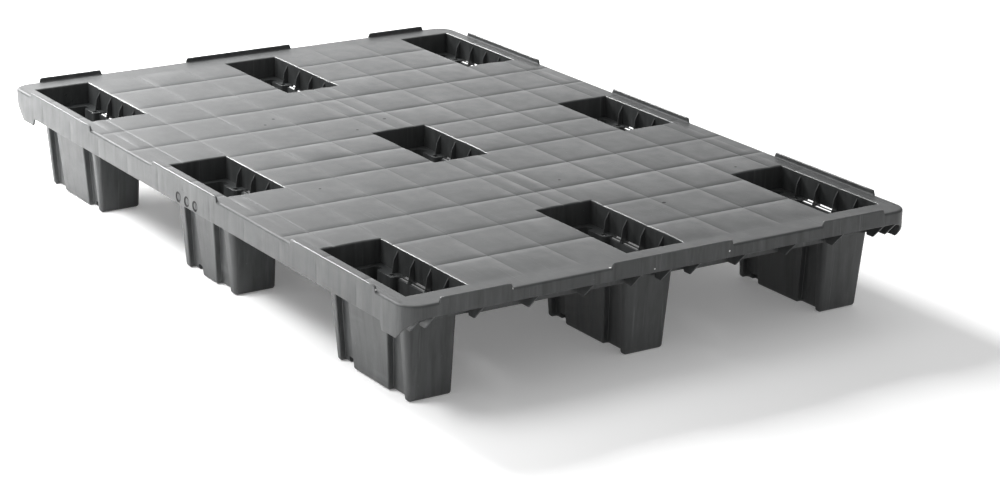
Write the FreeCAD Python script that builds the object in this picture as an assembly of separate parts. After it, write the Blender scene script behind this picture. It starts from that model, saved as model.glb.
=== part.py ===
import FreeCAD, Part
import os

# Nestable plastic pallet, 1200 x 800 mm, with nine hollow feet, in millimetres.
#
# Frame: the origin is on the floor under the centre of the deck, +X runs along the
# long side to the front end, +Y to the right-hand long side and +Z up. Left and
# right are those of a person who stands in front of the front end and faces it.
#
# The real pallet is one hollow moulding. Each named region of it is a solid of its
# own here, and neighbours meet face to face.

os.makedirs("parts", exist_ok=True)

# ---- overall size ----
LENGTH = 1200.0
WIDTH = 800.0
DECK_Z = 149.5          # height of the load deck
LIP_HEIGHT = 6.5        # how far the edge lips stand above the deck
CORNER_R = 28.0         # plan radius of the four deck corners

# ---- wall thicknesses ----
SKIN = 3.5              # deck plate
SKIRT_WALL = 3.0
LIP_WALL = 3.0
POCKET_WALL = 3.0
LEDGE_WALL = 3.0
FOOT_WALL = 3.0
FOOT_FLOOR = 4.0
RIB = 2.5

# ---- pockets: (centre, half size) along each axis ----
COLUMNS = {"back": (-453.4, 105.3), "middle": (0.0, 88.2), "front": (453.4, 105.3)}
ROWS = {"left": (-332.1, 44.5), "centre": (0.0, 45.3), "right": (332.1, 44.5)}
WELL_DEPTH = 33.5       # from the deck down to the ledge round each foot mouth
LEDGE_SIDE = 9.0        # ledge width along the long sides of a pocket
LEDGE_END = 9.0         # ledge width at a pocket end that faces the pallet's middle
LEDGE_OUTER_END = 13.0  # ledge width at a pocket end that faces the pallet's end

# ---- windows in the ledges: ranges along X from the pocket's centre ----
WINDOWS = {"back": ((-49.0, -22.5), (-18.5, 18.5), (22.5, 49.0)), "middle": ((-29.5, -2.0), (2.0, 29.5))}
WINDOWS["front"] = WINDOWS["back"]
WINDOW_BAR = (4.0, 5.0)     # thin bar along each window, measured from the pocket wall
WINDOW_BAR_DEPTH = 2.0
END_SLOTS = {"back": (51.5, 59.5), "middle": (32.0, 40.0), "front": (51.5, 59.5)}
END_SLOT_REACH = (8.0, 14.5)    # small slot over each groove, measured from the pocket wall

# ---- gussets on the long walls of the pockets ----
GUSSETS = {"back": (-61.5, -20.5, 20.5, 61.5), "middle": (-42.0, 0.0, 42.0)}
GUSSETS["front"] = GUSSETS["back"]
GUSSET_WALL = 1.6
GUSSET_KNEE = (6.5, 16.0)   # reach into the pocket, and depth below the deck

# ---- feet ----
FOOT_CORNER_R_TOP = 9.0
FOOT_CORNER_R_FOOT = 5.5
FOOT_CHAMFER = 3.5
GROOVE_DEPTH_TOP = 10.0
GROOVE_DEPTH_FOOT = 8.0
DRAIN_LENGTH = 16.0
DRAIN_HEIGHT = 9.0
DRAIN_REACH = 8.0

# ---- skirts ----
LONG_SKIRT_DEPTH = 34.0
SHORT_SKIRT_DEPTH = 17.5
EAR_DEPTH = 45.5
# where each end's corner piece starts, where its ear starts to drop, where the ear is
# full depth, and where it starts to rise again: distances from the pallet's middle
EAR_STATIONS = {"front": (530.0, 535.0, 541.0, 573.0), "back": (506.0, 514.0, 519.5, 556.0)}

# ---- lips: (start, end) along each side, the middle one centred ----
LONG_LIPS = {"back": (-525.0, -307.0), "middle": (-99.5, 99.5), "front": (307.0, 525.0)}
SHORT_LIPS = {"left": (-353.0, -246.0), "centre": (-96.5, 96.5), "right": (246.0, 353.0)}
LIP_SLOPE = 3.0         # run of each sloping lip end

# ---- underside ribs ----
RIB_DEPTH = 40.0        # from the deck down to the rib edge
CROSS_RIBS = (79.5, 180.0, 279.0, 377.5, 478.5)
BAY_RIBS = (121.0, 205.0)
# lengthwise ribs of each row, as distances from the pallet's centre line: between the
# wells, and between the wells and the short skirts
ROW_RIBS = {
    "left": (-378.35, -357.0, -285.85),
    "centre": (-30.0, 0.0, 30.0),
    "right": (285.85, 357.0, 378.35),
}
END_RIBS = {"left": ROW_RIBS["left"], "centre": (-47.05, 0.0, 47.05), "right": ROW_RIBS["right"]}

# ---- three blank mould inserts in the left skirt ----
MARK_X = (-16.0, 10.0, 35.0)
MARK_DEPTH = 24.5
MARK_R = 6.75
MARK_RECESS = 1.2
MARK_THICKNESS = 0.9

# ---- worked out ----
HALF_L = LENGTH / 2
HALF_W = WIDTH / 2
SKIN_Z = DECK_Z - SKIN
LEDGE_Z = DECK_Z - WELL_DEPTH
FOOT_TOP = LEDGE_Z - LEDGE_WALL
RIB_Z = DECK_Z - RIB_DEPTH
INNER_L = HALF_L - SKIRT_WALL
INNER_W = HALF_W - SKIRT_WALL
CORNER_START_Y = HALF_W - CORNER_R
CUT = 5.0               # how far cutting tools run past the faces they cut


def vec(x, y, z):
    return FreeCAD.Vector(x, y, z)


def block(x0, x1, y0, y1, z0, z1):
    """Box between two corners, given as ranges along X, Y and Z in any order."""
    low = vec(min(x0, x1), min(y0, y1), min(z0, z1))
    return Part.makeBox(abs(x1 - x0), abs(y1 - y0), abs(z1 - z0), low)


def prism(points, direction):
    """Solid from a closed polygon of points, extruded along a direction."""
    wire = Part.makePolygon(points + points[:1])
    return Part.Face(wire).extrude(direction)


def fuse(shapes):
    return shapes[0].multiFuse(shapes[1:]).removeSplitter()


def save(shape, node):
    shape.exportStep(f"parts/{node}.step")


def rounded_slab(half_x, half_y, radius, z0, z1):
    """Upright slab centred on the origin with rounded vertical corners."""
    slab = block(-half_x, half_x, -half_y, half_y, z0, z1)
    upright = [edge for edge in slab.Edges if abs(edge.tangentAt(edge.FirstParameter).z) > 0.9]
    return slab.makeFillet(radius, upright)


# ---------------------------------------------------------------- deck

def pocket_hole(column, row, grow, z0, z1):
    x, half_x = COLUMNS[column]
    y, half_y = ROWS[row]
    return block(x - half_x - grow, x + half_x + grow, y - half_y - grow, y + half_y + grow, z0, z1)


def deck_strip(y0, y1):
    """Strip of the deck plate between two lines along X, inside the skirts."""
    plate = rounded_slab(INNER_L, INNER_W, CORNER_R - SKIRT_WALL, SKIN_Z, DECK_Z)
    return plate.common(block(-HALF_L, HALF_L, y0, y1, SKIN_Z, DECK_Z))


def make_deck():
    row_edges = {name: (y - half, y + half) for name, (y, half) in ROWS.items()}
    save(deck_strip(-INNER_W, row_edges["left"][0]), "deck_edge_left")
    save(deck_strip(row_edges["left"][1], row_edges["centre"][0]), "deck_bay_left")
    save(deck_strip(row_edges["centre"][1], row_edges["right"][0]), "deck_bay_right")
    save(deck_strip(row_edges["right"][1], INNER_W), "deck_edge_right")
    for row, (y0, y1) in row_edges.items():
        holes = [pocket_hole(column, row, 0.0, SKIN_Z - CUT, DECK_Z + CUT) for column in COLUMNS]
        save(deck_strip(y0, y1).cut(holes), f"deck_row_{row}")


# ---------------------------------------------------------------- skirts and lips

def mark_disc(x, y, radius, thickness):
    return Part.makeCylinder(radius, thickness, vec(x, y, DECK_Z - MARK_DEPTH), vec(0, 1, 0))


def make_long_skirts():
    start = {end: stations[0] for end, stations in EAR_STATIONS.items()}
    for side, sign in (("left", -1), ("right", 1)):
        skirt = block(-start["back"], start["front"], sign * INNER_W, sign * HALF_W,
                      DECK_Z - LONG_SKIRT_DEPTH, DECK_Z)
        if side == "left":
            recesses = [mark_disc(x, -HALF_W - CUT, MARK_R, CUT + MARK_RECESS) for x in MARK_X]
            skirt = skirt.cut(recesses)
        save(skirt, f"skirt_{side}")


def make_short_skirts():
    for end, sign in (("front", 1), ("back", -1)):
        skirt = block(sign * INNER_L, sign * HALF_L, -CORNER_START_Y, CORNER_START_Y,
                      DECK_Z - SHORT_SKIRT_DEPTH, DECK_Z)
        save(skirt, f"skirt_{end}")


def make_corner_skirts():
    """Corner pieces: a rounded wall with a deeper ear on the long side."""
    bottom = DECK_Z - EAR_DEPTH
    ring = rounded_slab(HALF_L, HALF_W, CORNER_R, bottom, DECK_Z)
    ring = ring.cut(rounded_slab(INNER_L, INNER_W, CORNER_R - SKIRT_WALL, bottom - CUT, DECK_Z + CUT))
    for end, end_sign in (("front", 1), ("back", -1)):
        start, drop, full, rise = EAR_STATIONS[end]
        outline = [(start, 0.0), (start, LONG_SKIRT_DEPTH), (drop, LONG_SKIRT_DEPTH), (full, EAR_DEPTH),
                   (rise, EAR_DEPTH), (rise + EAR_DEPTH - SHORT_SKIRT_DEPTH, SHORT_SKIRT_DEPTH),
                   (HALF_L + CUT, SHORT_SKIRT_DEPTH), (HALF_L + CUT, 0.0)]
        for side, side_sign in (("left", -1), ("right", 1)):
            points = [vec(end_sign * x, side_sign * CORNER_START_Y, DECK_Z - depth) for x, depth in outline]
            region = prism(points, vec(0, side_sign * (CORNER_R + CUT), 0))
            save(ring.common(region), f"corner_{end}_{side}")


def lip(along, across, out_sign, is_long):
    """Lip over a (start, end) range of one side, with sloping ends, flush with the skirt's face."""
    start, end = along
    outline = [(start, DECK_Z), (end, DECK_Z), (end - LIP_SLOPE, DECK_Z + LIP_HEIGHT),
               (start + LIP_SLOPE, DECK_Z + LIP_HEIGHT)]
    inner = out_sign * (across - LIP_WALL)
    if is_long:
        return prism([vec(s, inner, z) for s, z in outline], vec(0, out_sign * LIP_WALL, 0))
    return prism([vec(inner, s, z) for s, z in outline], vec(out_sign * LIP_WALL, 0, 0))


def make_lips():
    for side, sign in (("left", -1), ("right", 1)):
        for place, along in LONG_LIPS.items():
            save(lip(along, HALF_W, sign, True), f"lip_{side}_{place}")
    for end, sign in (("front", 1), ("back", -1)):
        for place, along in SHORT_LIPS.items():
            save(lip(along, HALF_L, sign, False), f"lip_{end}_{place}")


# ---------------------------------------------------------------- feet

def front_foot_x():
    """X stations of a front foot, at its top and at the floor: both ends and the groove edges."""
    x, half = COLUMNS["front"]
    x0 = x - half + LEDGE_END - FOOT_WALL
    x1 = x + half - LEDGE_OUTER_END + FOOT_WALL
    top = (x0, 371.5, 404.0, 503.0, 532.0, x1)
    floor = (361.3, 371.5, 405.0, 492.6, 532.0, 541.8)
    return top, floor


def middle_foot_x():
    """X stations of a middle foot, the same way."""
    half = COLUMNS["middle"][1] - LEDGE_END + FOOT_WALL
    top = (-half, -60.0, -30.0, 30.0, 60.0, half)
    floor = (-77.0, -62.5, -21.0, 21.0, 62.5, 77.0)
    return top, floor


def foot_x(column):
    if column == "middle":
        return middle_foot_x()
    stations = front_foot_x()
    if column == "front":
        return stations
    return tuple(tuple(-x for x in reversed(level)) for level in stations)


def foot_y(row):
    """Y range of a foot at its top and at the floor."""
    y, half = ROWS[row]
    reach = half - LEDGE_SIDE + FOOT_WALL
    floor = {"left": (-360.8, -297.2), "centre": (-31.1, 31.1), "right": (297.2, 360.8)}
    return (y - reach, y + reach), floor[row]


def blend(level_top, level_floor, z):
    share = z / FOOT_TOP
    return [low + (high - low) * share for high, low in zip(level_top, level_floor)]


def foot_section(column, row, z, inset):
    """Closed outline of a foot at height z, moved inwards by inset.

    Each long side has two grooves. The ends are plain and the four corners are round.
    """
    x0, g0, m0, m1, g1, x1 = blend(*foot_x(column), z)
    y0, y1 = blend(*foot_y(row), z)
    depth = blend((GROOVE_DEPTH_TOP,), (GROOVE_DEPTH_FOOT,), z)[0]
    x0, x1, y0, y1 = x0 + inset, x1 - inset, y0 + inset, y1 - inset
    grooves = ((g0 - inset, m0 + inset), (m1 - inset, g1 + inset))
    radius = blend((FOOT_CORNER_R_TOP,), (FOOT_CORNER_R_FOOT,), z)[0] - inset
    lower = [vec(x0 + radius, y0, z)]
    for start, end in grooves:
        lower += [vec(start, y0, z), vec(start, y0 + depth, z), vec(end, y0 + depth, z), vec(end, y0, z)]
    lower.append(vec(x1 - radius, y0, z))
    upper = [vec(x1 - radius, y1, z)]
    for end, start in reversed(grooves):
        upper += [vec(start, y1, z), vec(start, y1 - depth, z), vec(end, y1 - depth, z), vec(end, y1, z)]
    upper.append(vec(x0 + radius, y1, z))
    bulge = radius * (1 - 0.5 ** 0.5)
    front_low = Part.Arc(lower[-1], vec(x1 - bulge, y0 + bulge, z), vec(x1, y0 + radius, z))
    front_high = Part.Arc(vec(x1, y1 - radius, z), vec(x1 - bulge, y1 - bulge, z), upper[0])
    back_high = Part.Arc(upper[-1], vec(x0 + bulge, y1 - bulge, z), vec(x0, y1 - radius, z))
    back_low = Part.Arc(vec(x0, y0 + radius, z), vec(x0 + bulge, y0 + bulge, z), lower[0])
    edges = [Part.makeLine(a, b) for a, b in zip(lower, lower[1:])]
    edges += [front_low.toShape(), Part.makeLine(vec(x1, y0 + radius, z), vec(x1, y1 - radius, z))]
    edges.append(front_high.toShape())
    edges += [Part.makeLine(a, b) for a, b in zip(upper, upper[1:])]
    edges += [back_high.toShape(), Part.makeLine(vec(x0, y1 - radius, z), vec(x0, y0 + radius, z))]
    edges.append(back_low.toShape())
    return Part.Wire(edges)


def drain_slot(column, row, side_sign):
    """Cutter for the drain at the base of the groove nearest the pallet's middle."""
    floor_stations = foot_x(column)[1]
    groove = floor_stations[3:5] if column == "back" else floor_stations[1:3]
    middle = sum(groove) / 2
    y_wall = foot_y(row)[1][0 if side_sign < 0 else 1] - side_sign * GROOVE_DEPTH_FOOT
    return block(middle - DRAIN_LENGTH / 2, middle + DRAIN_LENGTH / 2,
                 y_wall + side_sign * CUT, y_wall - side_sign * DRAIN_REACH, -CUT, DRAIN_HEIGHT)


def make_feet():
    for column in COLUMNS:
        for row in ROWS:
            outside = Part.makeLoft([foot_section(column, row, 0.0, FOOT_CHAMFER),
                                     foot_section(column, row, FOOT_CHAMFER, 0.0),
                                     foot_section(column, row, FOOT_TOP, 0.0)], True, True)
            inside = Part.makeLoft([foot_section(column, row, FOOT_FLOOR, FOOT_WALL),
                                    foot_section(column, row, FOOT_TOP + CUT, FOOT_WALL)], True, True)
            drains = [drain_slot(column, row, side_sign) for side_sign in (-1, 1)]
            save(outside.cut([inside] + drains), f"foot_{column}_{row}")


# ---------------------------------------------------------------- pocket wells

def window_cutters(column, row):
    """Cutters for the windows and end slots in the ledges along both long sides of a pocket."""
    x, _ = COLUMNS[column]
    y, half_y = ROWS[row]
    under_bar = LEDGE_Z - WINDOW_BAR_DEPTH
    cutters = []
    for side in (-1, 1):
        wall = y + side * half_y
        outside = wall + side * (POCKET_WALL + CUT)
        mouth = wall - side * (LEDGE_SIDE + CUT)
        bar_outer, bar_inner = (wall - side * reach for reach in WINDOW_BAR)
        for start, end in WINDOWS[column]:
            cutters.append(block(x + start, x + end, outside, bar_outer, FOOT_TOP - CUT, LEDGE_Z))
            cutters.append(block(x + start, x + end, bar_inner, mouth, FOOT_TOP - CUT, LEDGE_Z))
            cutters.append(block(x + start, x + end, outside, mouth, FOOT_TOP - CUT, under_bar))
        slot_outer, slot_inner = (wall - side * reach for reach in END_SLOT_REACH)
        for end_sign in (-1, 1):
            start, end = (x + end_sign * reach for reach in END_SLOTS[column])
            cutters.append(block(start, end, slot_outer, slot_inner, FOOT_TOP - CUT, LEDGE_Z + CUT))
    return cutters


def gussets(column, row):
    """Thin upright gussets that stiffen the long walls and stand on the ledge."""
    x, _ = COLUMNS[column]
    y, half_y = ROWS[row]
    knee_reach, knee_depth = GUSSET_KNEE
    plates = []
    for side in (-1, 1):
        wall = y + side * half_y
        for place in GUSSETS[column]:
            outline = [(wall, SKIN_Z), (wall - side * knee_reach, DECK_Z - knee_depth),
                       (wall - side * LEDGE_SIDE, LEDGE_Z), (wall, LEDGE_Z)]
            points = [vec(x + place - GUSSET_WALL / 2, across, z) for across, z in outline]
            plates.append(prism(points, vec(GUSSET_WALL, 0, 0)))
    return plates


def make_wells():
    for column in COLUMNS:
        for row in ROWS:
            body = pocket_hole(column, row, POCKET_WALL, FOOT_TOP, SKIN_Z)
            well = pocket_hole(column, row, 0.0, LEDGE_Z, SKIN_Z + CUT)
            mouth = Part.Face(foot_section(column, row, FOOT_TOP, FOOT_WALL))
            mouth.translate(vec(0, 0, -CUT))
            mouth = mouth.extrude(vec(0, 0, WELL_DEPTH))
            shell = body.cut([well, mouth] + window_cutters(column, row))
            save(fuse([shell] + gussets(column, row)), f"well_{column}_{row}")


# ---------------------------------------------------------------- underside ribs

def cross_rib(x, y0, y1):
    return block(x - RIB / 2, x + RIB / 2, y0, y1, RIB_Z, SKIN_Z)


def long_rib(y, x0, x1):
    return block(x0, x1, y - RIB / 2, y + RIB / 2, RIB_Z, SKIN_Z)


def end_slope(y0, y1, end_sign):
    """Cutter that gives the ribs their sloping ends behind a short skirt."""
    run = RIB_DEPTH - SHORT_SKIRT_DEPTH
    outline = [(INNER_L - run, RIB_Z), (INNER_L, DECK_Z - SHORT_SKIRT_DEPTH),
               (INNER_L + CUT, DECK_Z - SHORT_SKIRT_DEPTH), (INNER_L + CUT, RIB_Z - CUT),
               (INNER_L - run, RIB_Z - CUT)]
    points = [vec(end_sign * x, y0, z) for x, z in outline]
    return prism(points, vec(0, y1 - y0, 0))


def all_cross_ribs():
    return [-x for x in CROSS_RIBS] + list(CROSS_RIBS)


def make_bay_ribs():
    """Rib grids under the two wide bays, between the pocket rows."""
    inner = ROWS["centre"][1] + POCKET_WALL
    outer = ROWS["right"][0] - ROWS["right"][1] - POCKET_WALL
    pocket_ends = COLUMNS["front"][0] + COLUMNS["front"][1]
    stations = [-pocket_ends] + all_cross_ribs() + [0.0, pocket_ends]
    for side, sign in (("left", -1), ("right", 1)):
        y0, y1 = sorted((sign * inner, sign * outer))
        ribs = [cross_rib(x, y0, y1) for x in stations]
        ribs += [long_rib(sign * y, -INNER_L, INNER_L) for y in BAY_RIBS]
        grid = fuse(ribs).cut([end_slope(y0, y1, -1), end_slope(y0, y1, 1)])
        save(grid, f"ribs_bay_{side}")


def row_gaps():
    """X ranges between the pocket wells of a row, and between them and the short skirts."""
    edges = [-INNER_L]
    for x, half in COLUMNS.values():
        edges += [x - half - POCKET_WALL, x + half + POCKET_WALL]
    edges.append(INNER_L)
    return list(zip(edges[0::2], edges[1::2]))


def make_row_ribs():
    """Rib boxes between the wells of each row, and tabs between the wells and the short skirts."""
    inside_skirts = rounded_slab(INNER_L, INNER_W, CORNER_R - SKIRT_WALL, RIB_Z, SKIN_Z)
    for row, (y, half) in ROWS.items():
        y0, y1 = y - half - POCKET_WALL, y + half + POCKET_WALL
        gaps = row_gaps()
        groups = []
        for x0, x1 in gaps[1:-1]:
            ribs = [long_rib(line, x0, x1) for line in ROW_RIBS[row]]
            ribs += [cross_rib(x, y0, y1) for x in all_cross_ribs() if x0 + RIB < x < x1 - RIB]
            groups.append(fuse(ribs))
        for x0, x1 in (gaps[0], gaps[-1]):
            groups += [long_rib(line, x0, x1) for line in END_RIBS[row]]
        slopes = [end_slope(y0, y1, -1), end_slope(y0, y1, 1)]
        solids = [group.common(inside_skirts).cut(slopes) for group in groups]
        save(Part.makeCompound(solids), f"ribs_row_{row}")


def make_edge_ribs():
    """Short ribs between the long skirts and the wells, on and halfway between the cross ribs."""
    outer_line = ROWS["right"][0] + ROWS["right"][1] + POCKET_WALL
    lines = sorted(all_cross_ribs() + [0.0])
    lines += [(a + b) / 2 for a, b in zip(lines, lines[1:])]
    bottom = DECK_Z - LONG_SKIRT_DEPTH
    for side, sign in (("left", -1), ("right", 1)):
        y0, y1 = sign * outer_line, sign * INNER_W
        ribs = [block(x - RIB / 2, x + RIB / 2, y0, y1, bottom, SKIN_Z) for x in lines]
        save(Part.makeCompound(ribs), f"ribs_edge_{side}")


# ---------------------------------------------------------------- mould inserts

def make_mould_marks():
    """Three blank round inserts, each a plain rim and one cross bar, just under the skirt's face."""
    floor_y = -HALF_W + MARK_RECESS
    marks = []
    for x in MARK_X:
        base = mark_disc(x, floor_y - MARK_THICKNESS / 2, MARK_R, MARK_THICKNESS / 2)
        rim = mark_disc(x, floor_y - MARK_THICKNESS, MARK_R, MARK_THICKNESS)
        rim = rim.cut(mark_disc(x, floor_y - MARK_THICKNESS - CUT, MARK_R - 1.2, 2 * CUT))
        bar = block(x - 0.7, x + 0.7, floor_y - MARK_THICKNESS, floor_y,
                    DECK_Z - MARK_DEPTH - MARK_R + 1.0, DECK_Z - MARK_DEPTH + MARK_R - 1.0)
        marks.append(fuse([base, rim, bar]))
    save(Part.makeCompound(marks), "mould_marks")


make_deck()
make_long_skirts()
make_short_skirts()
make_corner_skirts()
make_lips()
make_feet()
make_wells()
make_bay_ribs()
make_row_ribs()
make_edge_ribs()
make_mould_marks()
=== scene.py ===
import math

import bmesh
import bpy
from mathutils import Euler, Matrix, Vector, noise
from mathutils.geometry import tessellate_polygon


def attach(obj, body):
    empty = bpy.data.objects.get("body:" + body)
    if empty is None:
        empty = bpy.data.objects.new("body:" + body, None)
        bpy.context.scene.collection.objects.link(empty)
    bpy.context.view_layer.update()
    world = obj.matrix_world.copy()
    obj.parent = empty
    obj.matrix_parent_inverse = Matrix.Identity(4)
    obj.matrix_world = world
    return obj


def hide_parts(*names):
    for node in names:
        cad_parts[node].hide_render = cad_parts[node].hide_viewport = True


# Looks of the nestable plastic pallet. Lengths are in millimetres, in the CAD frame,
# until a mesh is built; Blender objects are in metres.

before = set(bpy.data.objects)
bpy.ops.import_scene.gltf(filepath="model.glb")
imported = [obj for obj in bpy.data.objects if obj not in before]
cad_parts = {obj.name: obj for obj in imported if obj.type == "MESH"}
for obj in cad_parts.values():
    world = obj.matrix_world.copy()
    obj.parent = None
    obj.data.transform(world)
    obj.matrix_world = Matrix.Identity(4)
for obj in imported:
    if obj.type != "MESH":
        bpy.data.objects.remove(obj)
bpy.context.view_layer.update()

# ---- sizes, as in the CAD source ----
HALF_L = 600.0
HALF_W = 400.0
DECK_Z = 149.5
CORNER_R = 28.0
SKIN = 3.5
WALL = 3.0
COLUMNS = {"back": (-453.4, 105.3), "middle": (0.0, 88.2), "front": (453.4, 105.3)}
ROWS = {"left": (-332.1, 44.5), "centre": (0.0, 45.3), "right": (332.1, 44.5)}
LEDGE_Z = 116.0
FOOT_TOP = 113.0
LEDGE_SIDE = 9.0
LONG_SKIRT = 34.0
SHORT_SKIRT = 17.5
EAR = 45.5
EARS = {1: (530.0, 535.0, 541.0, 573.0), -1: (506.0, 514.0, 519.5, 556.0)}
LONG_LIPS = ((-525.0, -307.0), (-99.5, 99.5), (307.0, 525.0))
SHORT_LIPS = ((-353.0, -246.0), (-96.5, 96.5), (246.0, 353.0))
LIP_SLOPE = 3.0
CROSS_RIBS = (79.5, 180.0, 279.0, 377.5, 478.5)
MARK_X = (-16.0, 10.0, 35.0)
MARK_DEPTH = 24.5
MARK_R = 6.75
MARK_RECESS = 1.2
MARK_SHADE_RING = ((8.2, 7.5), (4.6, 5.4))     # painted shade: a dark ring standing for the shadow round each recess, where it fades outside and inside
MARK_MARGIN = 20.0      # room round the marks, more than one step of the deck grid

# ---- feet ----
FRONT_FOOT_TOP = (354.1, 371.5, 404.0, 503.0, 532.0, 548.7)
FRONT_FOOT_FLOOR = (361.3, 371.5, 405.0, 492.6, 532.0, 541.8)
MIDDLE_FOOT_TOP = (-82.2, -60.0, -30.0, 30.0, 60.0, 82.2)
MIDDLE_FOOT_FLOOR = (-77.0, -62.5, -21.0, 21.0, 62.5, 77.0)
FOOT_FLOOR_Y = {"left": (-360.8, -297.2), "centre": (-31.1, 31.1), "right": (297.2, 360.8)}
FOOT_CORNER_R = (9.0, 5.5)      # at the top and at the floor
FOOT_EDGE_R = 1.8
FOOT_ROOT_R = 1.2
FOOT_SOLE_R = 4.5
GROOVE_TOP = 10.0
GROOVE_FLOOR = 8.0
FOOT_PLATE = 4.0
FOOT_INNER_R = 2.5      # rounding inside the foot, where its walls meet the sole
DRAIN_HALF = 8.0
DRAIN_HEIGHT = 9.0
DRAIN_OUT, DRAIN_IN = 5.0, 8.0      # reach of the drain cut outside and inside the groove's face

# ---- surface finish of the deck ----
EDGE_R = 1.4            # rounding of the pocket edges
DOME = 1.35             # how far the middle of each deck cell stands proud
GROOVE = 0.42           # depth of the sink line over each rib
GROOVE_HALF = 2.4
SIDE_SINK = 0.32        # depth of the sink lines down the long skirts
# sink lines: over the ribs, and out to the corners of the deck
X_CREASES = (-558.7, -478.5, -377.5, -279.0, -180.0, -79.5, 0.0,
             79.5, 180.0, 279.0, 377.5, 478.5, 558.7)
Y_CREASES = (-378.4, -357.0, -286.5, -205.0, -121.0, -30.0, 0.0,
             30.0, 121.0, 205.0, 286.5, 357.0, 378.4)
GRID_STEP = 12.0
FAN = (5.6, 6.4, 7.2, 12.2, 13.0, 13.8, 17.7, 18.5, 19.3, 22.0)     # rings of the deck's corners
STRIATIONS = (385.0, 390.5)     # fine lines along the rim beside the pockets
# gate marks and knocks on the moulding: (x, y, z, radius)
DARK_SPOTS = ((-225.0, -137.0, DECK_Z, 3.0), (-202.0, -163.0, DECK_Z, 2.6), (-144.0, 9.0, DECK_Z, 3.2),
              (-111.0, -57.0, DECK_Z, 2.6), (408.0, 125.0, DECK_Z, 3.4), (324.0, 313.0, DECK_Z, 2.6),
              (120.0, -250.0, DECK_Z, 2.4), (250.0, 60.0, DECK_Z, 2.4))
PALE_CHIPS = ((596.0, -97.5, DECK_Z + 1, 2.2), (596.0, 97.5, DECK_Z + 1, 2.0),
              (600.0, -246.0, DECK_Z, 1.8), (600.0, 90.0, DECK_Z - 8, 1.3),
              (600.0, -30.0, DECK_Z - 12, 1.2), (525.0, -398.5, DECK_Z + 2, 1.6))


class Builder:
    """Collects points in millimetres and faces, and makes one object of them."""

    def __init__(self):
        self.points = []
        self.faces = []

    def add(self, x, y, z):
        self.points.append((x, y, z))
        return len(self.points) - 1

    def ring(self, outline, z):
        return [self.add(x, y, z) for x, y in outline]

    def bridge(self, a, b):
        for i in range(len(a)):
            j = (i + 1) % len(a)
            self.faces.append((a[i], a[j], b[j], b[i]))

    def cap(self, loops):
        corners = [[Vector(self.points[i]) for i in loop] for loop in loops]
        flat = [i for loop in loops for i in loop]
        for triangle in tessellate_polygon(corners):
            self.faces.append(tuple(flat[k] for k in triangle))

    def build(self, name, weighted=True, sharp=38.0):
        mesh = bpy.data.meshes.new(name)
        mesh.from_pydata([[c / 1000 for c in p] for p in self.points], [], self.faces)
        work = bmesh.new()
        work.from_mesh(mesh)
        bmesh.ops.recalc_face_normals(work, faces=work.faces)
        work.to_mesh(mesh)
        work.free()
        mesh.shade_smooth()
        mesh.set_sharp_from_angle(angle=math.radians(sharp))
        obj = bpy.data.objects.new(name, mesh)
        bpy.context.scene.collection.objects.link(obj)
        if weighted:
            obj.modifiers.new("even_shading", "WEIGHTED_NORMAL").keep_sharp = True
        return obj


# ---------------------------------------------------------------- outlines

def rounded(corners, steps=4):
    """Closed outline with round corners, from (x, y, radius) in order."""
    outline = []
    count = len(corners)
    for i, (x, y, radius) in enumerate(corners):
        here = Vector((x, y))
        before = Vector(corners[i - 1][:2]) - here
        after = Vector(corners[(i + 1) % count][:2]) - here
        if radius <= 0:
            outline.append((x, y))
            continue
        half = before.angle(after) / 2
        reach = min(radius / math.tan(half), 0.46 * min(before.length, after.length))
        radius = reach * math.tan(half)
        start = here + before.normalized() * reach
        end = here + after.normalized() * reach
        centre = here + (before.normalized() + after.normalized()).normalized() * (radius / math.sin(half))
        first = math.atan2(start.y - centre.y, start.x - centre.x)
        turn = math.atan2(end.y - centre.y, end.x - centre.x) - first
        turn = (turn + math.pi) % (2 * math.pi) - math.pi
        for k in range(steps + 1):
            angle = first + turn * k / steps
            outline.append((centre.x + radius * math.cos(angle), centre.y + radius * math.sin(angle)))
    return outline


def inset(outline, distance):
    """A counter-clockwise outline moved inwards; a clockwise one moves outwards."""
    moved = []
    count = len(outline)
    for i, (x, y) in enumerate(outline):
        here = Vector((x, y))
        before = (here - Vector(outline[i - 1])).normalized()
        after = (Vector(outline[(i + 1) % count]) - here).normalized()
        normal = Vector((-before.y - after.y, before.x + after.x))
        scale = distance * 2 / max(normal.length_squared, 0.35)
        moved.append((x + normal.x * scale, y + normal.y * scale))
    return moved


def plate(builder, outer, holes, low, high, low_round, high_round, place=None):
    """Closed plate between two heights, with rounded rims.

    Outer is counter-clockwise, holes are clockwise."""
    levels = []
    for k in range(3):
        angle = math.pi / 4 * k
        levels.append((low_round * (1 - math.sin(angle)), low + low_round * (1 - math.cos(angle))))
    for k in range(3):
        angle = math.pi / 4 * k
        levels.append((high_round * (1 - math.cos(angle)), high - high_round * (1 - math.sin(angle))))
    if not low_round:
        levels = levels[2:]
    if not high_round:
        levels = levels[:-2]
    place = place or (lambda u, v, w: (u, v, w))
    ends = []
    for loop in [outer] + holes:
        rings = [[builder.add(*place(u, v, w)) for u, v in inset(loop, gap)] for gap, w in levels]
        for a, b in zip(rings, rings[1:]):
            builder.bridge(a, b)
        ends.append((rings[0], rings[-1]))
    builder.cap([first for first, _ in ends])
    builder.cap([last for _, last in ends])


def box_outline(x0, x1, y0, y1):
    return [(x0, y0), (x1, y0), (x1, y1), (x0, y1)]


# ---------------------------------------------------------------- deck grid

def spread(breaks, step):
    """The sorted breaks, with even steps between them."""
    breaks = sorted(breaks)
    lines = [breaks[0]]
    for a, b in zip(breaks, breaks[1:]):
        count = max(1, round((b - a) / step))
        lines += [a + (b - a) * k / count for k in range(1, count + 1)]
    return lines


def both(values):
    return [-v for v in values] + list(values)


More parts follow.
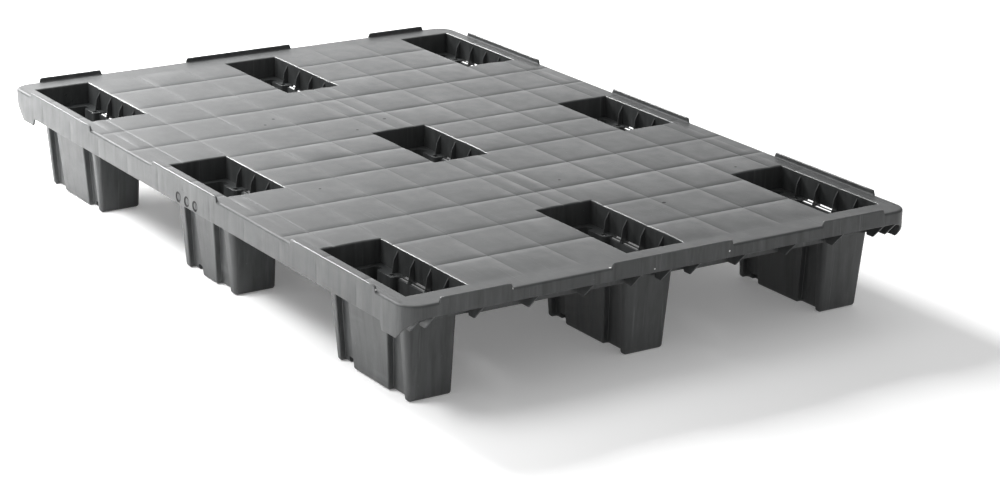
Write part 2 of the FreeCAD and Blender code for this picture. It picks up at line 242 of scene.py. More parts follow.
def crease_lines(creases, limit):
    steps = [GROOVE_HALF * share for share in (-1.0, -0.5, 0.0, 0.5, 1.0)]
    return [line + step for line in creases if abs(line) < limit for step in steps]


def lip_lines(lips):
    steps = (0.0, 0.6, 1.6, LIP_SLOPE)
    return [end + sign * step for ends in lips for end, sign in zip(ends, (1, -1)) for step in steps]


def hole_lines(places):
    lines = []
    for centre, half in places.values():
        for side in (-1, 1):
            edge = centre + side * half
            lines += [edge + side * EDGE_R, edge + side * (EDGE_R + 1.4)]
    return lines


def merge(required, optional, gap=0.55):
    """The required lines, and those of the optional ones that stay clear of them."""
    kept = sorted(set(round(v, 4) for v in required))
    for value in sorted(set(round(v, 4) for v in optional)):
        if all(abs(value - other) > gap for other in kept):
            kept.append(value)
    return sorted(kept)


FLAT_X = HALF_L - CORNER_R
FLAT_Y = HALF_W - CORNER_R
ears = [sign * x for sign, stations in EARS.items() for x in stations]
inside_holes_x = [(c - h, c + h) for c, h in COLUMNS.values()]
inside_holes_y = [(c - h, c + h) for c, h in ROWS.values()]
x_required = both([FLAT_X] + [FLAT_X + r for r in FAN]) + hole_lines(COLUMNS) + ears + lip_lines(LONG_LIPS)
x_optional = crease_lines([x for x in X_CREASES if abs(x) < 550], FLAT_X)
y_required = both([FLAT_Y] + [FLAT_Y + r for r in FAN]) + hole_lines(ROWS) + lip_lines(SHORT_LIPS)
y_optional = crease_lines([y for y in Y_CREASES if abs(y) < 370], FLAT_Y)
XS = merge(spread(merge(x_required, x_optional), GRID_STEP), [])
YS = merge(spread(merge(y_required, y_optional), GRID_STEP), [])


def cell_share(value, creases):
    """Where a value lies in its cell between creases, from -1 to 1, and the cell's number."""
    for number, (a, b) in enumerate(zip(creases, creases[1:])):
        if a <= value <= b:
            return (2 * value - a - b) / (b - a), number
    return 1.0, -1


def groove(distance, depth, half):
    share = abs(distance) / half
    return -depth * (1 - share * share) ** 2 if share < 1 else 0.0


def ramp(value, start, end):
    share = min(1.0, max(0.0, (value - start) / (end - start)))
    return share * share * (3 - 2 * share)


def deck_height(x, y):
    """Height of the moulded deck surface above the deck plane."""
    u, column = cell_share(x, X_CREASES)
    v, row = cell_share(y, Y_CREASES)
    height = 0.0
    if column >= 0 and row >= 0:
        lift = DOME * (0.8 + 0.8 * noise.noise(Vector((column * 1.7, row * 2.3, 0.5))))
        height += lift * (1 - u * u) * (1 - v * v)
    calm = ramp(HALF_L - abs(x), 8.0, 40.0) * ramp(HALF_W - abs(y), 8.0, 40.0)
    height += 0.35 * calm * noise.noise(Vector((x / 90, y / 90, 3.1)))
    across = [groove(x - line, GROOVE, GROOVE_HALF) for line in X_CREASES[1:-1]]
    along = [groove(y - line, GROOVE, GROOVE_HALF) for line in Y_CREASES[1:-1]]
    height += min(across) + min(along) * ramp(HALF_L - abs(x), 30.0, 60.0)
    beside_pocket = max(ramp(h + 6 - abs(x - c), 0.0, 6.0) for c, h in COLUMNS.values())
    height += beside_pocket * min(groove(abs(y) - line, 0.25, 0.85) for line in STRIATIONS)
    return height


def lip_share(value, lips):
    """How much of the full lip height stands at a place along a side."""
    for start, end in lips:
        reach = min(value - start, end - value)
        if reach >= -1e-6:
            share = min(1.0, max(0.0, reach) / LIP_SLOPE)
            return share * (2 - share)
    return 0.0


def skirt_depth(x):
    """Depth of the long skirt and of the corner pieces below the deck at a place along X."""
    start, drop, full, rise = EARS[1 if x > 0 else -1]
    at = abs(x)
    if at <= drop:
        return LONG_SKIRT
    if at <= full:
        return LONG_SKIRT + (EAR - LONG_SKIRT) * (at - drop) / (full - drop)
    return max(SHORT_SKIRT, EAR - max(0.0, at - rise))


# The rim's profile: (offset from the outer face, height) without a lip and with one.
PLAIN_RIM = ((4.6, 0), (4.1, -0.02), (3.8, -0.04), (3.4, -0.08), (3.1, -0.12), (2.7, -0.18),
             (2.3, -0.27), (1.9, -0.4), (1.5, -0.58), (1.1, -0.84), (0.75, -1.16), (0.45, -1.55),
             (0.2, -2.05), (0.05, -2.65), (0.0, -3.4), (0.0, -5.0))
LIP_RIM = ((4.6, 0), (3.7, 0.08), (3.2, 0.45), (3.0, 1.2), (2.97, 3.0), (2.95, 5.0), (2.8, 5.8),
           (2.45, 6.3), (1.9, 6.5), (1.2, 6.5), (0.6, 6.3), (0.2, 5.85), (0.03, 5.2), (0.0, 4.2),
           (0.0, 1.0), (0.0, -3.0))


class Edge:
    """One station on the outline of the deck, seen from above."""

    def __init__(self, grid_index, centre, direction, lip, depth, sink):
        self.grid_index = grid_index
        self.centre = centre
        self.direction = direction
        self.lip = lip
        self.depth = depth
        self.sink = sink

    def at(self, offset):
        reach = CORNER_R - offset
        return self.centre[0] + self.direction[0] * reach, self.centre[1] + self.direction[1] * reach


def make_shell():
    """Deck, skirts, corners and lips as one moulded shell."""
    b = Builder()
    grid = {}

    def in_hole(x, y):
        return any(a - EDGE_R + 0.01 < x < z + EDGE_R - 0.01 for a, z in inside_holes_x) and \
            any(a - EDGE_R + 0.01 < y < z + EDGE_R - 0.01 for a, z in inside_holes_y)

    for i, x in enumerate(XS):
        for j, y in enumerate(YS):
            if (abs(x) > FLAT_X + 0.01 and abs(y) > FLAT_Y + 0.01) or in_hole(x, y):
                continue
            grid[i, j] = b.add(x, y, DECK_Z + deck_height(x, y))
    for i in range(len(XS) - 1):
        for j in range(len(YS) - 1):
            mid_x, mid_y = (XS[i] + XS[i + 1]) / 2, (YS[j] + YS[j + 1]) / 2
            square = ((i, j), (i + 1, j), (i + 1, j + 1), (i, j + 1))
            if not in_hole(mid_x, mid_y) and all(key in grid for key in square):
                b.faces.append(tuple(grid[key] for key in square))

    # outline stations, counter-clockwise from the left side's back end
    steps = 12
    corner_x = {s: min(range(len(XS)), key=lambda i: abs(XS[i] - s * FLAT_X)) for s in (-1, 1)}
    corner_y = {s: min(range(len(YS)), key=lambda j: abs(YS[j] - s * FLAT_Y)) for s in (-1, 1)}
    main_ribs = both(CROSS_RIBS) + [0.0]

    def side_sink(x):
        return min(groove(x - line, SIDE_SINK, GROOVE_HALF) for line in main_ribs)

    def long_side(sign):
        j = 0 if sign < 0 else len(YS) - 1
        indices = range(corner_x[-1], corner_x[1] + 1)
        stations = [Edge(grid[i, j], (XS[i], sign * FLAT_Y), (0, sign), lip_share(XS[i], LONG_LIPS),
                         skirt_depth(XS[i]), side_sink(XS[i])) for i in indices]
        return stations if sign < 0 else stations[::-1]

    def short_side(sign):
        i = 0 if sign < 0 else len(XS) - 1
        indices = range(corner_y[-1], corner_y[1] + 1)
        stations = [Edge(grid[i, j], (sign * FLAT_X, YS[j]), (sign, 0), lip_share(YS[j], SHORT_LIPS),
                         SHORT_SKIRT, 0.0) for j in indices]
        return stations if sign > 0 else stations[::-1]

    def corner(sx, sy, first_angle):
        """Fan of the deck's corner, between the grid's two straight edges."""
        centre = (sx * FLAT_X, sy * FLAT_Y)
        ci, cj = corner_x[sx], corner_y[sy]
        rays = []
        for k in range(steps + 1):
            angle = math.radians(first_angle + 90 * k / steps)
            c, s = math.cos(angle), math.sin(angle)
            if abs(c) < 1e-9:
                ray = [grid[ci, cj + sy * (n + 1)] for n in range(len(FAN))]
            elif abs(s) < 1e-9:
                ray = [grid[ci + sx * (n + 1), cj] for n in range(len(FAN))]
            else:
                ray = [b.add(centre[0] + r * c, centre[1] + r * s, DECK_Z) for r in FAN]
            rays.append(ray)
        for one, two in zip(rays, rays[1:]):
            b.faces.append((grid[ci, cj], one[0], two[0]))
            for n in range(len(FAN) - 1):
                b.faces.append((one[n], one[n + 1], two[n + 1], two[n]))
        stations = []
        for k in range(1, steps):
            angle = math.radians(first_angle + 90 * k / steps)
            direction = (math.cos(angle), math.sin(angle))
            depth = skirt_depth(centre[0] + CORNER_R * direction[0])
            stations.append(Edge(rays[k][-1], centre, direction, 0.0, depth, 0.0))
        return stations

    outline = long_side(-1) + corner(1, -1, -90) + short_side(1) + corner(1, 1, 0)
    outline += long_side(1) + corner(-1, 1, 90) + short_side(-1) + corner(-1, -1, 180)

    previous = [e.grid_index for e in outline]
    for (plain_gap, plain_z), (lip_gap, lip_z) in zip(PLAIN_RIM, LIP_RIM):
        ring = []
        for e in outline:
            gap = plain_gap + (lip_gap - plain_gap) * e.lip
            height = plain_z + (lip_z - plain_z) * e.lip
            ring.append(b.add(*e.at(gap), DECK_Z + height))
        b.bridge(previous, ring)
        previous = ring
    # the skirt: (offset, depth below the deck or, if not positive, above the skirt's edge, sunk or not)
    skirt_top_ring, skirt_low_ring = (0.0, 12.0, True), (0.0, -1.4, True)
    below = ((0.0, 8.0, True), skirt_top_ring, skirt_low_ring, (0.12, -0.75, False),
             (0.45, -0.3, False), (0.9, 0.0, False), (2.1, 0.0, False), (2.55, -0.3, False),
             (2.9, -0.75, False), (WALL, -1.4, False), (WALL, -2.6, False))
    skirt_top = None
    for gap, drop, sunk in below:
        ring = []
        for e in outline:
            depth = drop if drop > 0 else e.depth + drop
            ring.append(b.add(*e.at(gap - (e.sink if sunk else 0.0)), DECK_Z - depth))
        if (gap, drop, sunk) == skirt_top_ring:
            skirt_top = ring
        if (gap, drop, sunk) == skirt_low_ring:
            bridge_with_marks(b, outline, skirt_top, ring)
        else:
            b.bridge(previous, ring)
        previous = ring
    inner_top = [b.add(*e.at(WALL), DECK_Z - SKIN) for e in outline]
    b.bridge(previous, inner_top)

    # pocket edges, and the plain underside between them
    holes = []
    for x0, x1 in inside_holes_x:
        for y0, y1 in inside_holes_y:
            ia, ib = [min(range(len(XS)), key=lambda i: abs(XS[i] - v)) for v in (x0 - EDGE_R, x1 + EDGE_R)]
            ja, jb = [min(range(len(YS)), key=lambda j: abs(YS[j] - v)) for v in (y0 - EDGE_R, y1 + EDGE_R)]
            keys = [(i, ja) for i in range(ia, ib)] + [(ib, j) for j in range(ja, jb)]
            keys += [(i, jb) for i in range(ib, ia, -1)] + [(ia, j) for j in range(jb, ja, -1)]
            previous = [grid[key] for key in keys]
            for angle, extra in ((30, 0), (60, 0), (90, 0), (90, 0.8), (90, SKIN - EDGE_R)):
                share = 1 - math.sin(math.radians(angle))
                drop = EDGE_R * (1 - math.cos(math.radians(angle))) + extra
                ring = []
                for i, j in keys:
                    wall_x, wall_y = min(max(XS[i], x0), x1), min(max(YS[j], y0), y1)
                    top = DECK_Z + deck_height(XS[i], YS[j]) * (1 - min(1.0, drop / 1.5))
                    ring.append(b.add(wall_x + (XS[i] - wall_x) * share,
                                      wall_y + (YS[j] - wall_y) * share, top - drop))
                b.bridge(previous, ring)
                previous = ring
            holes.append(previous)
    b.cap([inner_top] + holes)
    return b.build("deck_shell", weighted=False, sharp=50.0)


def bridge_with_marks(b, outline, top, bottom):
    """The skirt's outer face, with three round recesses in the left side."""
    count = len(outline)
    low = MARK_X[0] - MARK_R - MARK_MARGIN
    high = MARK_X[-1] + MARK_R + MARK_MARGIN
    patch = [k for k in range(count)
             if outline[k].direction == (0, -1) and low < outline[k].centre[0] < high]
    for i in range(count):
        j = (i + 1) % count
        if i in patch and j in patch:
            continue
        b.faces.append((top[i], top[j], bottom[j], bottom[i]))
    frame_loop = [bottom[k] for k in patch] + [top[k] for k in reversed(patch)]
    circles = []
    angles = [2 * math.pi * k / 40 for k in range(40)]
    profile = ((MARK_R + 0.9, 0.0), (MARK_R + 0.3, 0.0), (MARK_R, 0.3), (MARK_R, MARK_RECESS))
    for x in MARK_X:
        rings = []
        for radius, depth in profile:
            rings.append([b.add(x + radius * math.cos(a), -HALF_W + depth,
                                DECK_Z - MARK_DEPTH + radius * math.sin(a)) for a in angles])
        for one, two in zip(rings, rings[1:]):
            b.bridge(one, two)
        b.cap([rings[-1]])
        circles.append(rings[0])
    b.cap([frame_loop] + circles)


# ---------------------------------------------------------------- feet

def blend(top, floor, z):
    share = z / FOOT_TOP
    return [low + (high - low) * share for high, low in zip(top, floor)]


def foot_stations(column, z):
    if column == "middle":
        return blend(MIDDLE_FOOT_TOP, MIDDLE_FOOT_FLOOR, z)
    stations = blend(FRONT_FOOT_TOP, FRONT_FOOT_FLOOR, z)
    return stations if column == "front" else [-x for x in reversed(stations)]


def foot_corners(column, row, z, gap):
    """Corners (x, y, radius) of a foot's outline at a height, moved inwards by gap."""
    x0, g0, m0, m1, g1, x1 = foot_stations(column, z)
    centre, half = ROWS[row]
    reach = half - LEDGE_SIDE + WALL
    y0, y1 = blend((centre - reach, centre + reach), FOOT_FLOOR_Y[row], z)
    depth = blend((GROOVE_TOP,), (GROOVE_FLOOR,), z)[0]
    x0, x1, y0, y1 = x0 + gap, x1 - gap, y0 + gap, y1 - gap
    edge, root = max(0.5, FOOT_EDGE_R - gap), FOOT_ROOT_R + gap
    grooves = ((g0 - gap, m0 + gap), (m1 - gap, g1 + gap))
    big = max(0.8, blend(FOOT_CORNER_R[:1], FOOT_CORNER_R[1:], z)[0] - gap)
    corners = [(x0, y0, big)]
    for a, c in grooves:
        corners += [(a, y0, edge), (a, y0 + depth, root), (c, y0 + depth, root), (c, y0, edge)]
    corners += [(x1, y0, big), (x1, y1, big)]
    for c, a in reversed(grooves):
        corners += [(a, y1, edge), (a, y1 - depth, root), (c, y1 - depth, root), (c, y1, edge)]
    corners.append((x0, y1, big))
    return corners


def make_foot(column, row):
    """A hollow tapered foot with two grooves a side, open at the top."""
    b = Builder()
    outer, inner = [], []
    for k in range(5):
        angle = math.pi / 8 * k
        z = FOOT_SOLE_R * (1 - math.cos(angle))
        gap = FOOT_SOLE_R * (1 - math.sin(angle))
        outer.append(b.ring(rounded(foot_corners(column, row, z, gap)), z))
    for z in (9.0, 55.0, FOOT_TOP - 2, FOOT_TOP):
        outer.append(b.ring(rounded(foot_corners(column, row, z, 0.0)), z))
    for k in range(3):
        angle = math.pi / 4 * k
        z = FOOT_PLATE + FOOT_INNER_R * (1 - math.cos(angle))
        gap = WALL + FOOT_INNER_R * (1 - math.sin(angle))
        inner.append(b.ring(rounded(foot_corners(column, row, z, gap)), z))
    for z in (9.0, 55.0, FOOT_TOP):
        inner.append(b.ring(rounded(foot_corners(column, row, z, WALL)), z))
    for rings in (outer, inner):
        for one, two in zip(rings, rings[1:]):
            b.bridge(one, two)
    b.bridge(outer[-1], inner[-1])
    b.cap([outer[0]])
    b.cap([inner[0]])
    foot = b.build(f"foot_shell_{column}_{row}", weighted=False)
    cut_drains(foot, column, row)
    foot.modifiers.new("even_shading", "WEIGHTED_NORMAL").keep_sharp = True
    return foot


def cut_drains(foot, column, row):
    """Drain holes at the base of the groove nearest the pallet's middle, on both long sides."""
    stations = foot_stations(column, 0.0)
    start, end = stations[3:5] if column == "back" else stations[1:3]
    middle = (start + end) / 2
    cutter = Builder()
    for side, y in zip((-1, 1), FOOT_FLOOR_Y[row]):
        wall = y - side * GROOVE_FLOOR
        y0, y1 = sorted((wall + side * DRAIN_OUT, wall - side * DRAIN_IN))
        hole = box_outline(middle - DRAIN_HALF, middle + DRAIN_HALF, y0, y1)
        plate(cutter, hole, [], -5.0, DRAIN_HEIGHT, 0.0, 0.0)
    tool = cutter.build("drain_cutter", weighted=False)
    cut = foot.modifiers.new("drains", "BOOLEAN")
    cut.operation = "DIFFERENCE"
    cut.solver = "EXACT"
    cut.object = tool
    bpy.context.view_layer.update()
    graph = bpy.context.evaluated_depsgraph_get()
    mesh = bpy.data.meshes.new_from_object(foot.evaluated_get(graph))
    foot.modifiers.remove(cut)
    foot.data = mesh
    mesh.set_sharp_from_angle(angle=math.radians(38))
    bpy.data.objects.remove(tool)


# ---------------------------------------------------------------- wells

WINDOWS = {"middle": ((-26.6, -2.0), (2.0, 26.6))}
WINDOWS["front"] = WINDOWS["back"] = ((-46.0, -22.5), (-18.5, 18.5), (22.5, 46.0))
WINDOW_BAR = (4.0, 5.0)         # measured from the pocket wall
WINDOW_BAR_DEPTH = 2.0
END_SLOTS = {"middle": (32.0, 40.0), "front": (51.5, 59.5), "back": (51.5, 59.5)}
END_SLOT_REACH = (8.0, 14.5)    # measured from the pocket wall
GUSSETS = {"middle": (-42.0, 0.0, 42.0)}
GUSSETS["front"] = GUSSETS["back"] = (-61.5, -20.5, 20.5, 61.5)
GUSSET_HALF = 0.8
GUSSET_SHAPE = ((-0.5, DECK_Z - SKIN), (6.5, DECK_Z - 16), (9.0, LEDGE_Z - 0.4), (-0.5, LEDGE_Z - 0.4))
BAR_TOP = LEDGE_Z - 0.1


def make_well(column, row):
    """A pocket's walls, its ledge with windows and slots, and its gussets."""
    b = Builder()
    x, half_x = COLUMNS[column]
    y, half_y = ROWS[row]
    x0, x1, y0, y1 = x - half_x, x + half_x, y - half_y, y + half_y
    wall_outer = box_outline(x0 - WALL, x1 + WALL, y0 - WALL, y1 + WALL)
    wall_inner = box_outline(x0, x1, y0, y1)[::-1]
    plate(b, wall_outer, [wall_inner], LEDGE_Z, DECK_Z - SKIN, 0.0, 0.0)
    # the ledge: one C-shaped piece at each end of the pocket, and short bridges between the windows
    mouth = foot_corners(column, row, FOOT_TOP, WALL)
    lower_end, upper_end = WINDOWS[column][0][0], WINDOWS[column][-1][1]
    slot_a, slot_c = END_SLOTS[column]
    for end_sign, edge in ((1, x + upper_end), (-1, x + lower_end)):
        path = reach_round(mouth, edge, end_sign)
        far = x1 + WALL if end_sign > 0 else x0 - WALL
        # first and last long side, in the order that keeps the outline counter-clockwise
        walls = (y0 - WALL, y1 + WALL)[::end_sign]
        shoulders = (y1 - LEDGE_SIDE, y0 + LEDGE_SIDE)[::end_sign]
        corners = [(edge, walls[0], 0), (far, walls[0], 0), (far, walls[1], 0), (edge, walls[1], 0)]
        corners += [(edge, shoulders[0], 0.9)] + path + [(edge, shoulders[1], 0.9)]
        slots = []
        for side_sign, wall in ((1, y0), (-1, y1)):
            sx = sorted((x + end_sign * slot_a, x + end_sign * slot_c))
            sy = sorted(wall + side_sign * reach for reach in END_SLOT_REACH)
            slots.append(rounded([(px, py, 0.8) for px, py in box_outline(*sx, *sy)], 2)[::-1])
        plate(b, rounded(corners, 3), slots, FOOT_TOP, LEDGE_Z, 0.0, 0.7)
    windows = WINDOWS[column]
    for (_, left), (right, _) in zip(windows, windows[1:]):
        for low_y, high_y in ((y0 - WALL, y0 + LEDGE_SIDE), (y1 - LEDGE_SIDE, y1 + WALL)):
            bridge = box_outline(x + left, x + right, low_y, high_y)
            plate(b, bridge, [], FOOT_TOP, LEDGE_Z, 0.0, 0.5)
    for wall, sign in ((y0, 1), (y1, -1)):
        bar = box_outline(x + lower_end - 1, x + upper_end + 1, *sorted(wall + sign * r for r in WINDOW_BAR))
        plate(b, bar, [], LEDGE_Z - WINDOW_BAR_DEPTH, BAR_TOP, 0.2, 0.2)
        for place in GUSSETS[column]:
            profile = [(wall + sign * reach, z) for reach, z in GUSSET_SHAPE]
            if sign > 0:
                profile = profile[::-1]
            ends = (x + place - GUSSET_HALF, x + place + GUSSET_HALF)
            plate(b, profile, [], *ends, 0.35, 0.35, lambda u, v, w: (w, u, v))
    return b.build(f"well_liner_{column}_{row}")


def reach_round(mouth, edge, end_sign):
    """The mouth's corners beyond an edge, in the order that runs from one side to the other."""
    count = len(mouth)
    beyond = [(c[0] - edge) * end_sign > 0.05 for c in mouth]
    first = next(k for k in range(count) if beyond[k] and not beyond[k - 1])
    run = []
    k = first
    while beyond[k % count] and len(run) < count:
        run.append(mouth[k % count])
        k += 1
    return run[::-1]


# ---------------------------------------------------------------- material

def plastic():
    """Dark grey recycled plastic with a satin moulded skin, flow marks, stains and scuffs, a painted shade
    ring round each mould insert, and paler edges that are partly wear and partly painted highlight.
    """
    material = bpy.data.materials.new("recycled_plastic")
    material.use_nodes = True
    nodes, links = material.node_tree.nodes, material.node_tree.links
    nodes.clear()

    def node(kind, **settings):
        made = nodes.new(kind)
        for key, value in settings.items():
            setattr(made, key, value)
        return made

    def mapped(scale, offset=(0, 0, 0), turn=(0, 0, 0)):
        mapping = node("ShaderNodeMapping")
        mapping.inputs["Scale"].default_value = scale
        mapping.inputs["Location"].default_value = offset
        mapping.inputs["Rotation"].default_value = turn
        links.new(place.outputs["Object"], mapping.inputs["Vector"])
        return mapping.outputs["Vector"]

    def cloud(vector, scale, detail=3.0, rough=0.5):
        made = node("ShaderNodeTexNoise")
        made.inputs["Scale"].default_value = scale
        made.inputs["Detail"].default_value = detail
        made.inputs["Roughness"].default_value = rough
        links.new(vector, made.inputs["Vector"])
        return made.outputs["Fac"]

    def levels(value, low, high, to_low=0.0, to_high=1.0):
        made = node("ShaderNodeMapRange", clamp=True)
        numbers = {"From Min": low, "From Max": high, "To Min": to_low, "To Max": to_high}
        for socket, number in numbers.items():
            made.inputs[socket].default_value = number
        links.new(value, made.inputs["Value"])
        return made.outputs["Result"]

    def levels_mm(value, low, high):
        return levels(value, low / 1000, high / 1000)

    def maths(operation, a, c):
        made = node("ShaderNodeMath", operation=operation)
        for socket, value in zip(made.inputs, (a, c)):
            if isinstance(value, float):
                socket.default_value = value
            else:
                links.new(value, socket)
        return made.outputs["Value"]

    def tint(factor, colour_a, colour_b):
        made = node("ShaderNodeMix", data_type="RGBA")
        links.new(factor, made.inputs["Factor"])
        for socket, colour in ((6, colour_a), (7, colour_b)):
            if isinstance(colour, tuple):
                made.inputs[socket].default_value = (*colour, 1.0)
            else:
                links.new(colour, made.inputs[socket])
        return made.outputs[2]

    def over(colour_below, mask, share, colour):
        return tint(maths("MULTIPLY", mask, share), colour_below, colour)

    def away_from(point):
        """Distance from a point given in millimetres."""
        made = node("ShaderNodeVectorMath", operation="DISTANCE")
        links.new(place.outputs["Object"], made.inputs[0])
        made.inputs[1].default_value = [c / 1000 for c in point]
        return made.outputs["Value"]

    place = node("ShaderNodeTexCoord")
    geometry = node("ShaderNodeNewGeometry")
    facing = node("ShaderNodeSeparateXYZ")
    links.new(geometry.outputs["Normal"], facing.inputs["Vector"])
    where = node("ShaderNodeSeparateXYZ")
    links.new(place.outputs["Object"], where.inputs["Vector"])
    upward, level = facing.outputs["Z"], where.outputs["Z"]

    # masks: all that isn't level, the pocket walls, the rounded edges, and the rim where it has no lip
    sideways = maths("SUBTRACT", 1.0, levels(upward, 0.6, 0.9))
    reach_x = maths("ABSOLUTE", where.outputs["X"], 0.0)
    reach_y = maths("ABSOLUTE", where.outputs["Y"], 0.0)
    within = maths("MULTIPLY", levels_mm(reach_x, HALF_L - 10, HALF_L - 20),
                   levels_mm(reach_y, HALF_W - 10, HALF_W - 14))
    above_deck = levels_mm(level, DECK_Z + 1, DECK_Z + 2.5)
    pocket_wall = maths("MULTIPLY", within, levels_mm(level, DECK_Z - 1.5, DECK_Z - 3.5))
    pocket_wall = maths("MULTIPLY", pocket_wall, levels_mm(level, LEDGE_Z - 4, LEDGE_Z - 1))
    rounding = maths("MULTIPLY", levels(upward, 0.12, 0.35), levels(upward, 0.975, 0.9))
    # the rim without a lip is left out of the paler, smoother edges, so it carries no painted highlight
    plain_rim = maths("MULTIPLY", rounding, maths("SUBTRACT", 1.0, maths("MAXIMUM", within, above_deck)))
    rounding = maths("SUBTRACT", rounding, plain_rim)

    # unevenness of the moulded skin
    patches = levels(cloud(mapped((1, 1, 1)), 5.0, 4.0, 0.6), 0.3, 0.7)
    mottle = levels(cloud(mapped((1, 1, 1), (3, 1, 2)), 45.0, 3.0, 0.6), 0.35, 0.7)
    flow = levels(cloud(mapped((9, 55, 20), (1, 5, 0), (0, 0, 0.35)), 1.0, 3.0, 0.5), 0.4, 0.75)
    streaks = levels(cloud(mapped((60, 60, 6), (0, 2, 7)), 1.6, 3.0, 0.6), 0.48, 0.78)
    dust = levels(cloud(mapped((38, 38, 5), (5, 1, 2)), 1.6, 4.0, 0.65), 0.5, 0.8)
    grain = cloud(mapped((1, 1, 1), (7, 3, 5)), 900.0, 2.0, 0.6)

    base = tint(patches, (0.035, 0.037, 0.0375), (0.046, 0.048, 0.0485))
    base = over(base, mottle, 0.35, (0.058, 0.061, 0.061))
    base = over(base, flow, 0.18, (0.07, 0.073, 0.073))
    base = over(base, maths("MULTIPLY", streaks, sideways), 0.7, (0.014, 0.015, 0.015))
    base = over(base, maths("MULTIPLY", dust, sideways), 0.5, (0.1, 0.104, 0.104))

    # fine straight scratches in several directions, seen mostly on the deck
    scratches = None
    for turn, offset in ((0.3, 1.0), (-0.55, 4.0), (1.1, 7.0), (2.2, 11.0)):
        drawn_out = mapped((4, 420, 4), (offset, offset * 2, 0), (0, 0, turn))
        line = levels(cloud(drawn_out, 1.0, 1.0, 0.4), 0.69, 0.74)
        gate = levels(cloud(mapped((1, 1, 1), (offset, 0, 3)), 11.0, 2.0, 0.5), 0.52, 0.62)
        line = maths("MULTIPLY", line, gate)
        scratches = line if scratches is None else maths("MAXIMUM", scratches, line)
    base = over(base, scratches, 0.3, (0.16, 0.165, 0.165))

    # dusty specks, dark spots, pale chips, and a painted shade ring over the edge of each mould insert's
    # recess
    specks = levels(cloud(mapped((1, 1, 1), (2, 9, 4)), 260.0, 1.0, 0.4), 0.78, 0.83)
    base = over(base, specks, 0.35, (0.2, 0.205, 0.205))
    for spots, colour in ((DARK_SPOTS, (0.01, 0.01, 0.01)), (PALE_CHIPS, (0.75, 0.75, 0.74))):
        marked = None
        for *spot, radius in spots:
            disc = levels_mm(away_from(spot), radius, radius / 1.6)
            marked = disc if marked is None else maths("MAXIMUM", marked, disc)
        base = tint(marked, base, colour)
        if spots is DARK_SPOTS:
            dark_spots_and_shade_ring = marked
    # painted shade: each ring darkens the recess edge, where the groove's shadow falls
    for x in MARK_X:
        away = away_from((x, -HALF_W + MARK_RECESS, DECK_Z - MARK_DEPTH))
        ring = maths("MULTIPLY", *(levels_mm(away, *fade) for fade in MARK_SHADE_RING))
        base = tint(ring, base, (0.008, 0.008, 0.008))
        dark_spots_and_shade_ring = maths("MAXIMUM", dark_spots_and_shade_ring, ring)

    # edges are painted paler, partly as wear and partly as painted highlight, and made smoother; pocket
    # walls are smoother; dark spots, the painted shade rings and the plain rim are duller
    base = over(base, rounding, 0.3, (0.13, 0.135, 0.135))
    rough = levels(mottle, 0.0, 1.0, 0.40, 0.48)
    for mask, change in ((patches, 0.1), (scratches, 0.12), (rounding, -0.15), (plain_rim, 0.2),
                         (dark_spots_and_shade_ring, 0.4), (pocket_wall, -0.14)):
        rough = maths("ADD", rough, maths("MULTIPLY", mask, change))

    height = maths("ADD", maths("MULTIPLY", grain, 0.35), maths("MULTIPLY", mottle, 0.5))
    height = maths("ADD", height, maths("MULTIPLY", scratches, -0.6))
    bump = node("ShaderNodeBump")
    bump.inputs["Strength"].default_value = 0.35
    bump.inputs["Distance"].default_value = 0.0003
    links.new(height, bump.inputs["Height"])

    shader = node("ShaderNodeBsdfPrincipled")
    shader.inputs["IOR"].default_value = 1.5
    links.new(base, shader.inputs["Base Color"])
    links.new(rough, shader.inputs["Roughness"])
    links.new(bump.outputs["Normal"], shader.inputs["Normal"])
    output = node("ShaderNodeOutputMaterial")
    links.new(shader.outputs["BSDF"], output.inputs["Surface"])
    return material


# ---------------------------------------------------------------- pieces

finish = plastic()
shell = make_shell()
pieces = {shell: [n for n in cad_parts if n.split("_")[0] in ("deck", "skirt", "corner", "lip")]}
for column in COLUMNS:
    for row in ROWS:
        pieces[make_foot(column, row)] = [f"foot_{column}_{row}"]
        pieces[make_well(column, row)] = [f"well_{column}_{row}"]
for piece, stands_for in pieces.items():
    piece.data.materials.clear()
    piece.data.materials.append(finish)
    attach(piece, "root")
    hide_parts(*stands_for)
# the ribs and the mould inserts keep the CAD shape, with softened edges
for name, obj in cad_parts.items():
    if name.startswith("ribs") or name == "mould_marks":
        for material_slot in obj.material_slots:
            material_slot.material = finish
        weld = obj.modifiers.new("weld", "WELD")
        weld.merge_threshold = 1e-6
        soften = obj.modifiers.new("round_edges", "BEVEL")
        soften.width = 0.0002 if name == "mould_marks" else 0.0005
        soften.segments = 2
        soften.limit_method = "ANGLE"
        soften.harden_normals = True


# ---------------------------------------------------------------- floor, light and camera

FLOOR_REACH = 9000.0
FLOOR_CORNER_R = 3000.0
FLOOR_Z = -0.3


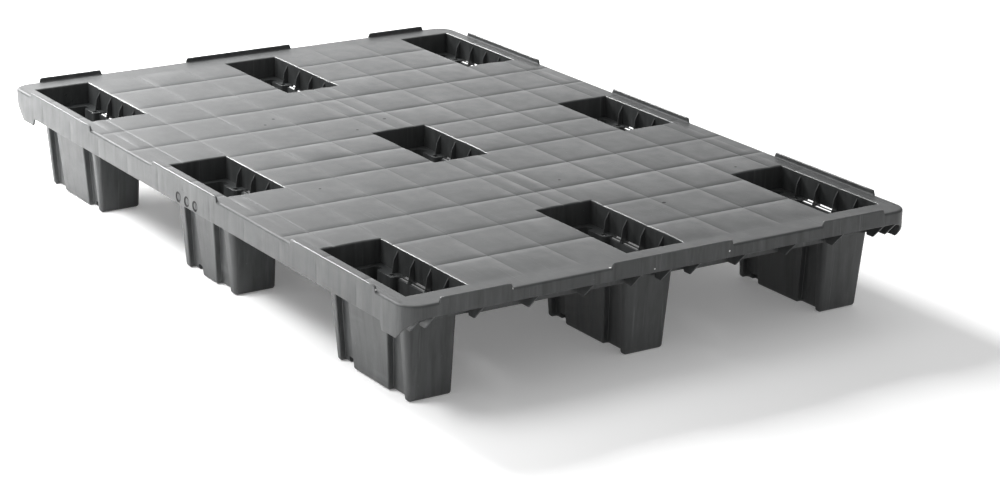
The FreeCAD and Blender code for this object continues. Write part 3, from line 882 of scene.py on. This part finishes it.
def make_floor():
    """A pale table under the pallet."""
    b = Builder()
    square = box_outline(-FLOOR_REACH, FLOOR_REACH, -FLOOR_REACH, FLOOR_REACH)
    b.cap([[b.add(x, y, FLOOR_Z) for x, y in rounded([(*c, FLOOR_CORNER_R) for c in square], 8)]])
    floor = b.build("studio_floor", weighted=False)
    material = bpy.data.materials.new("pale_floor")
    material.use_nodes = True
    nodes, links = material.node_tree.nodes, material.node_tree.links
    shader = nodes["Principled BSDF"]
    place = nodes.new("ShaderNodeTexCoord")
    mottle = nodes.new("ShaderNodeTexNoise")
    mottle.inputs["Scale"].default_value = 3.0
    links.new(place.outputs["Object"], mottle.inputs["Vector"])
    colour = nodes.new("ShaderNodeMix")
    colour.data_type = "RGBA"
    colour.inputs[6].default_value = (0.90, 0.90, 0.90, 1)
    colour.inputs[7].default_value = (0.93, 0.93, 0.93, 1)
    links.new(mottle.outputs["Fac"], colour.inputs["Factor"])
    links.new(colour.outputs[2], shader.inputs["Base Color"])
    shader.inputs["Roughness"].default_value = 0.9
    # a faintly lit table, so that the shadow under the pallet stays soft
    shader.inputs["Emission Color"].default_value = (1.0, 1.0, 1.0, 1)
    shader.inputs["Emission Strength"].default_value = 0.16
    floor.data.materials.append(material)


def area_light(name, location, target, size, power, spread=180.0):
    """A rectangular lamp that faces its target; lengths in metres, power in watts, spread in degrees."""
    data = bpy.data.lights.new(name, "AREA")
    data.spread = math.radians(spread)
    data.shape = "RECTANGLE"
    data.size, data.size_y = size
    data.energy = power
    light = bpy.data.objects.new(name, data)
    light.location = location
    light.rotation_euler = (Vector(target) - Vector(location)).to_track_quat("-Z", "Y").to_euler()
    bpy.context.scene.collection.objects.link(light)


def make_world(low, high):
    """Plain studio surround: one brightness near the horizon and another overhead."""
    world = bpy.data.worlds.new("studio")
    world.use_nodes = True
    nodes, links = world.node_tree.nodes, world.node_tree.links
    place = nodes.new("ShaderNodeTexCoord")
    split = nodes.new("ShaderNodeSeparateXYZ")
    links.new(place.outputs["Generated"], split.inputs["Vector"])
    glow = nodes.new("ShaderNodeMapRange")
    glow.interpolation_type = "SMOOTHSTEP"
    for socket, number in {"From Min": 0.3, "From Max": 0.6, "To Min": low, "To Max": high}.items():
        glow.inputs[socket].default_value = number
    links.new(split.outputs["Z"], glow.inputs["Value"])
    links.new(glow.outputs["Result"], nodes["Background"].inputs["Strength"])
    nodes["Background"].inputs["Color"].default_value = (1.0, 1.0, 1.0, 1)
    bpy.context.scene.world = world


def make_camera():
    """The view of the photo."""
    data = bpy.data.cameras.new("camera")
    data.lens = 95.58
    data.shift_x = 0.0326
    data.sensor_width = 36.0
    data.clip_end = 60.0
    camera = bpy.data.objects.new("camera", data)
    camera.location = (3.1759, -1.9571, 1.2299)
    camera.rotation_euler = Euler([math.radians(a) for a in (71.613, -0.719, 57.709)])
    bpy.context.scene.collection.objects.link(camera)
    bpy.context.scene.camera = camera


make_floor()
make_world(0.55, 0.48)
area_light("key", (-3.9, -0.5, 2.75), target=(0, 0, 0.15), size=(1.3, 1.5), power=370)
area_light("back", (-4.3, 1.8, 0.9), target=(0, 0, 0.1), size=(4.6, 1.4), power=50)
area_light("floor_light", (-1.1, -1.9, 2.4), target=(-1.0, -1.7, 0.0), size=(2.8, 1.2), power=120,
           spread=85.0)
make_camera()
bpy.context.scene.view_settings.view_transform = "Standard"
